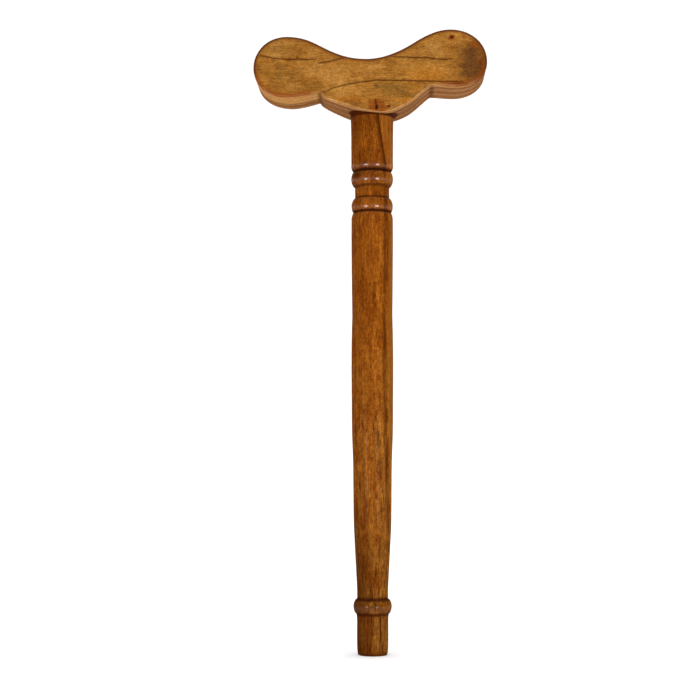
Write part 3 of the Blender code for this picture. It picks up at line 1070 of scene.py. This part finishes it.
def tenon():
    """The round that enters the socket, with its end chamfered."""
    pin = rod("tenon", TENON_RADIUS, (0.0, 0.0, TENON_FOOT_Z), (0.0, 0.0, post_high.z), HOLE_SIDES)
    for corner in pin.data.vertices:
        if corner.co.z > post_high.z - TENON_CHAMFER:
            corner.co.z -= TENON_CHAMFER
    body = bmesh.new()
    body.from_mesh(pin.data)
    top = next(face for face in body.faces if face.calc_center_median().z > SEAT_Z and len(face.verts) > 4)
    bmesh.ops.inset_region(body, faces=[top], thickness=TENON_CHAMFER, depth=0.0)
    bmesh.ops.translate(body, verts=top.verts, vec=(0.0, 0.0, TENON_CHAMFER))
    body.to_mesh(pin.data)
    body.free()
    return pin


def make_post():
    wood = post_wood()
    post = link_new("post", post_centre_line())
    turning = post.modifiers.new("turning", "NODES")
    turning.node_group = turning_tree()
    set_inputs(
        turning,
        Sides=TURNING_SIDES,
        Unevenness=UNEVENNESS,
        Unevenness_Length=UNEVENNESS_LENGTH,
        Seed=7,
        Wood=wood,
    )
    settle(post)
    weld(post)
    combine(post, "DIFFERENCE", [scribe()])
    combine(post, "UNION", [tenon()])
    combine(post, "DIFFERENCE", [kerf(), peg_hole()])
    weld(post)
    post.data.shade_smooth()
    post.data.set_sharp_from_angle(angle=math.radians(38))
    return post


# Colours of the post's darker stain, linear
AMBER = (0.262, 0.072, 0.0050)
CHESTNUT = (0.180, 0.042, 0.0030)
ORANGE = (0.380, 0.130, 0.0150)
TAN = (0.300, 0.112, 0.0150)
UMBER = (0.070, 0.0160, 0.0020)
SOOT = (0.028, 0.0050, 0.0008)

# Turned grooves, darkened by stain in them and by painted shade, as (height, half width, strength)
POST_GROOVE_STAIN_AND_SHADE = (
    (NECK_GROOVE[0], 0.0027, 0.92),
    (COVE[0][0], 0.0020, 0.55),
    (COVE[-1][0], 0.0020, 0.60),
    (SHAFT_GROOVE[0], 0.0022, 0.90),
    (FOOT_BEAD_TOP[0], 0.0026, 0.80),
    (SPIGOT[0][0], 0.0024, 0.75),
)

# Crests that handling keeps polished, as (height, half width, coat weight)
POST_SHINE = (
    (NECK[-1][0] - 0.0014, 0.0028, 0.28),
    (UPPER_BEAD[0] - 0.0016, 0.0028, 0.28),
    (LOWER_BEAD[0] - 0.0016, 0.0028, 0.25),
    (FOOT_BEAD[0] - 0.0016, 0.0045, 0.10),
)
PITH = (-0.022, 0.040, 0.0)
RING_WIDTH_POST = 0.0052

# Grain lines as (height, x), seen from the front
NECK_LINE = ((0.4300, 0.0123), (0.4460, 0.0118), (0.4600, 0.0096), (0.4720, 0.0078), (0.4870, 0.0058))
SHAFT_LINE = ((0.1000, 0.0140), (0.2000, 0.0125), (0.2800, 0.0112), (0.3600, 0.0122), (0.4400, 0.0124))
FOOT_CHECK = ((0.0120, 0.0068), (0.0180, 0.0074), (0.0260, 0.0070), (0.0350, 0.0076))


def post_grain_lines(wood, colour, front, mottle, streak):
    """The dark line down the shaft and the slanting one on the neck, with paler wood beyond."""
    neck_side = wood.calc("SUBTRACT", wood.x, wood.follow(wood.z, NECK_LINE))
    neck = wood.both(wood.fade(wood.z, 0.4250, 0.4330), front)
    beyond = wood.fade(neck_side, 0.0002, 0.0030)
    colour = wood.tint(colour, ORANGE, wood.both(neck, beyond, wood.fade(streak, 0.35, 0.60, 0.15, 0.55)))
    before = wood.both(wood.fade(neck_side, 0.0006, -0.0002), wood.fade(neck_side, -0.0045, -0.0004))
    colour = wood.tint(colour, UMBER, wood.both(neck, before, 0.72))
    core = wood.both(wood.stripe(neck_side, 0.0, 0.0008), wood.fade(wood.z, 0.4380, 0.4440, 0.0, 0.75))
    colour = wood.tint(colour, SOOT, wood.both(core, front))

    shaft_side = wood.calc("SUBTRACT", wood.x, wood.follow(wood.z, SHAFT_LINE))
    drift = wood.calc("MULTIPLY", wood.calc("SUBTRACT", mottle, 0.5), 0.004)
    shaft_side = wood.calc("ADD", shaft_side, drift)
    shaft = wood.both(front, wood.fade(wood.z, 0.4300, 0.4180), wood.fade(wood.z, 0.070, 0.150))
    broken = wood.fade(streak, 0.62, 0.40, 0.45, 0.95)
    colour = wood.tint(colour, UMBER, wood.both(shaft, wood.stripe(shaft_side, 0.0, 0.0026), broken, 0.9))
    return wood.tint(colour, TAN, wood.both(shaft, wood.fade(shaft_side, 0.0015, 0.0040), 0.35))


def post_wood():
    """Turned from a squared length: layers round a pith outside the post, grain along Z."""
    wood = Recipe("post wood")
    warp = wood.noise((1.0, 1.0, 4.0), 0.020, 3.0)
    mottle = wood.noise((1.0, 1.0, 2.2), 0.012, 4.0, 0.6)
    streak = wood.noise((1.0, 1.0, 9.0), 0.0026, 4.0, 0.70)
    fibre = wood.noise((1.0, 1.0, 14.0), 0.0010, 2.0)
    fleck = wood.noise((1.0, 1.0, 2.6), 0.0016, 3.0, 0.6)
    grit = wood.noise((1.0, 1.0, 1.6), 0.0009, 1.0)
    pore = wood.fade(wood.noise((1.0, 1.0, 6.0), 0.0007, 1.0), 0.63, 0.73)
    from_pith = wood.vector("MULTIPLY", wood.vector("SUBTRACT", wood.place, PITH), (1.0, 1.0, 0.0))
    depth = wood.calc("ADD", wood.vector("LENGTH", from_pith), wood.calc("MULTIPLY", warp, 0.008))
    late, fine = wood.growth(depth, RING_WIDTH_POST)
    low = wood.fade(wood.z, 0.340, 0.150)
    front = wood.fade(wood.y, 0.004, -0.004)

    colour = wood.tint(CHESTNUT, AMBER, wood.fade(mottle, 0.34, 0.54))
    colour = wood.tint(colour, TAN, wood.both(low, wood.fade(mottle, 0.42, 0.60), 0.75))
    colour = wood.tint(colour, ORANGE, wood.fade(streak, 0.52, 0.72, 0.0, 0.75))
    colour = wood.tint(colour, CHESTNUT, wood.fade(streak, 0.47, 0.30, 0.0, 0.85))
    colour = wood.tint(colour, UMBER, wood.both(late, 0.25))
    colour = wood.tint(colour, UMBER, wood.both(fine, 0.16))
    colour = wood.tint(colour, UMBER, wood.both(wood.fade(streak, 0.46, 0.34), low, 0.85))
    colour = wood.tint(colour, UMBER, wood.fade(fibre, 0.54, 0.70, 0.0, 0.45))
    right_low = wood.both(wood.fade(wood.x, 0.004, 0.012), low, front)
    colour = wood.tint(colour, TAN, wood.both(right_low, 0.45))
    colour = wood.tint(colour, SOOT, wood.both(wood.fade(fibre, 0.54, 0.62), right_low, 0.60))
    colour = wood.shaded(colour, wood.fade(fleck, 0.25, 0.75, 1.36, 0.64))
    colour = wood.shaded(colour, wood.fade(grit, 0.25, 0.75, 0.74, 1.26))
    colour = wood.tint(colour, SOOT, wood.both(pore, 0.55))

    # painted shade: the post's left side darker, more so towards the foot
    left = wood.fade(wood.x, 0.008, -0.014)
    colour = wood.tint(colour, UMBER, wood.both(left, wood.fade(wood.z, 0.200, 0.040, 0.22, 0.72)))
    colour = wood.shaded(colour, wood.fade(wood.z, 0.150, 0.060, 1.0, 0.74))
    colour = wood.shaded(colour, wood.fade(wood.z, 0.395, 0.425, 1.0, 0.90))
    # painted shade on the neck's top, under the board
    colour = wood.shaded(colour, wood.fade(wood.z, 0.460, 0.488, 1.0, 0.88))
    stain = wood.blob((-0.0135, -0.0120, UPPER_BEAD[0] + 0.0020), (0.0080, 0.0120, 0.0055), 0.8)
    colour = wood.tint(colour, SOOT, wood.both(stain, wood.fade(mottle, 0.35, 0.55, 0.4, 1.0), 0.80))
    colour = post_grain_lines(wood, colour, front, mottle, streak)
    check_side = wood.calc("SUBTRACT", wood.x, wood.follow(wood.z, FOOT_CHECK))
    ends = wood.both(wood.fade(wood.z, 0.0105, 0.0130), wood.fade(wood.z, 0.0365, 0.0330))
    check = wood.both(front, ends, wood.stripe(check_side, 0.0, 0.0009))
    colour = wood.tint(colour, SOOT, wood.both(check, 0.9))

    # stain and painted shade in the turned grooves
    for height, half_width, strength in POST_GROOVE_STAIN_AND_SHADE:
        colour = wood.tint(colour, SOOT, wood.both(wood.stripe(wood.z, height, half_width), strength))
    # painted shade with some stain on the post's top, where it meets the board's underside
    ragged = wood.calc("ADD", wood.z, wood.calc("MULTIPLY", mottle, 0.0016))
    colour = wood.tint(colour, DUSK, wood.fade(ragged, SEAT_Z - 0.0004, SEAT_Z + 0.0010, 0.0, 0.94))
    # painted shade on the foot's eased bottom edge, which turns underneath
    colour = wood.tint(colour, UMBER, wood.fade(wood.z, 0.0050, 0.0010, 0.0, 0.75))

    roughness = wood.calc("ADD", wood.fade(fibre, 0.3, 0.7, 0.34, 0.44), wood.both(pore, 0.15))
    grain = wood.calc("ADD", wood.both(fibre, 0.3), wood.both(streak, wood.fade(low, 0.0, 1.0, 0.3, 1.2)))
    height = wood.calc("SUBTRACT", grain, wood.calc("ADD", wood.both(pore, 0.5), wood.both(check, 1.5)))
    shine = wood.fade(wood.z, 0.300, 0.400, 0.006, 0.030)
    for height, half_width, weight in POST_SHINE:
        crest = wood.both(wood.stripe(wood.z, height, half_width), weight)
        shine = wood.calc("MAXIMUM", shine, crest)
    wood.varnish(shine, 0.11, 2.0)
    return wood.finish(colour, roughness, height, 0.00020, 0.4)


# ---------------------------------------------------------------- fox wedge and cross peg


def plain_wood(name, pale, dark, stretch, roughness):
    """Unstained wood of the joint's small pieces, with its grain along the longest stretch."""
    wood = Recipe(name)
    streak = wood.noise(stretch, 0.0012, 3.0)
    fibre = wood.noise(stretch, 0.0004, 2.0)
    colour = wood.tint(dark, pale, wood.fade(streak, 0.35, 0.65))
    colour = wood.tint(colour, dark, wood.fade(fibre, 0.52, 0.72, 0.0, 0.6))
    wood.varnish(0.03, 0.3, 1.5)
    return wood.finish(colour, wood.fade(fibre, 0.3, 0.7, roughness, roughness + 0.1), fibre, 0.0001)


def make_wedge():
    """A riven wedge with eased arrises, thick at its head and thin at its foot."""
    body = bmesh.new()
    bmesh.ops.create_cube(body, size=1.0)
    for corner in body.verts:
        at_head = corner.co.z > 0
        corner.co.x *= WEDGE_HEAD if at_head else WEDGE_FOOT
        corner.co.y *= wedge_high.y - wedge_low.y
        corner.co.z = wedge_high.z if at_head else wedge_low.z
    bmesh.ops.bevel(body, geom=body.edges, offset=0.0003, segments=2, affect="EDGES")
    wedge = link_new("wedge", mesh_from("wedge", body))
    wedge.data.shade_smooth()
    wedge.data.set_sharp_from_angle(angle=math.radians(30))
    wedge.data.materials.append(
        plain_wood("wedge wood", (0.42, 0.24, 0.10), (0.26, 0.12, 0.04), (1.0, 1.0, 10.0), 0.6)
    )
    return wedge


PEG_FLATS = 8
PEG_WHITTLE = 0.022
PEG_SIDES = 64


def make_peg():
    """A whittled peg: eight soft flats, a chamfered inner end and a slightly domed head."""
    radius = (peg_high.z - peg_low.z) / 2
    centre_z = (peg_high.z + peg_low.z) / 2
    rings = [(peg_low.y, 0.72), (peg_low.y + 0.0008, 0.97)]
    rings += [(y, 1.0) for y in np.linspace(peg_low.y + 0.003, peg_high.y - 0.0012, 12)]
    rings += [(peg_high.y - 0.0006, 0.985), (peg_high.y - 0.0003, 0.93)]
    rings += [(peg_high.y - 0.0001, 0.80), (peg_high.y, 0.45)]
    body = bmesh.new()
    loops = []
    for y, share in rings:
        loop = []
        for k in range(PEG_SIDES):
            angle = 2 * math.pi * k / PEG_SIDES
            r = radius * share * (1 - PEG_WHITTLE * abs(math.sin(PEG_FLATS / 2 * angle)) ** 2)
            loop.append(body.verts.new((r * math.cos(angle), y, centre_z + r * math.sin(angle))))
        loops.append(loop)
    for near, far in zip(loops, loops[1:]):
        for k in range(PEG_SIDES):
            m = (k + 1) % PEG_SIDES
            body.faces.new((near[k], near[m], far[m], far[k]))
    body.faces.new(loops[0])
    body.faces.new(loops[-1])
    peg = link_new("peg", mesh_from("peg", body))
    peg.data.shade_smooth()
    peg.data.set_sharp_from_angle(angle=math.radians(40))
    peg.data.materials.append(
        plain_wood("peg wood", (0.20, 0.075, 0.020), (0.10, 0.030, 0.008), (1.0, 8.0, 1.0), 0.45)
    )
    return peg


def hand_over(piece, node):
    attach(piece, BODY)
    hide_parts(node)


hand_over(make_board(), "armrest_board")
hand_over(make_post(), "turned_post")
hand_over(make_wedge(), "fox_wedge")
hand_over(make_peg(), "cross_peg")

make_camera()
make_stage()
make_lights()
bpy.context.scene.view_settings.view_transform = "Standard"
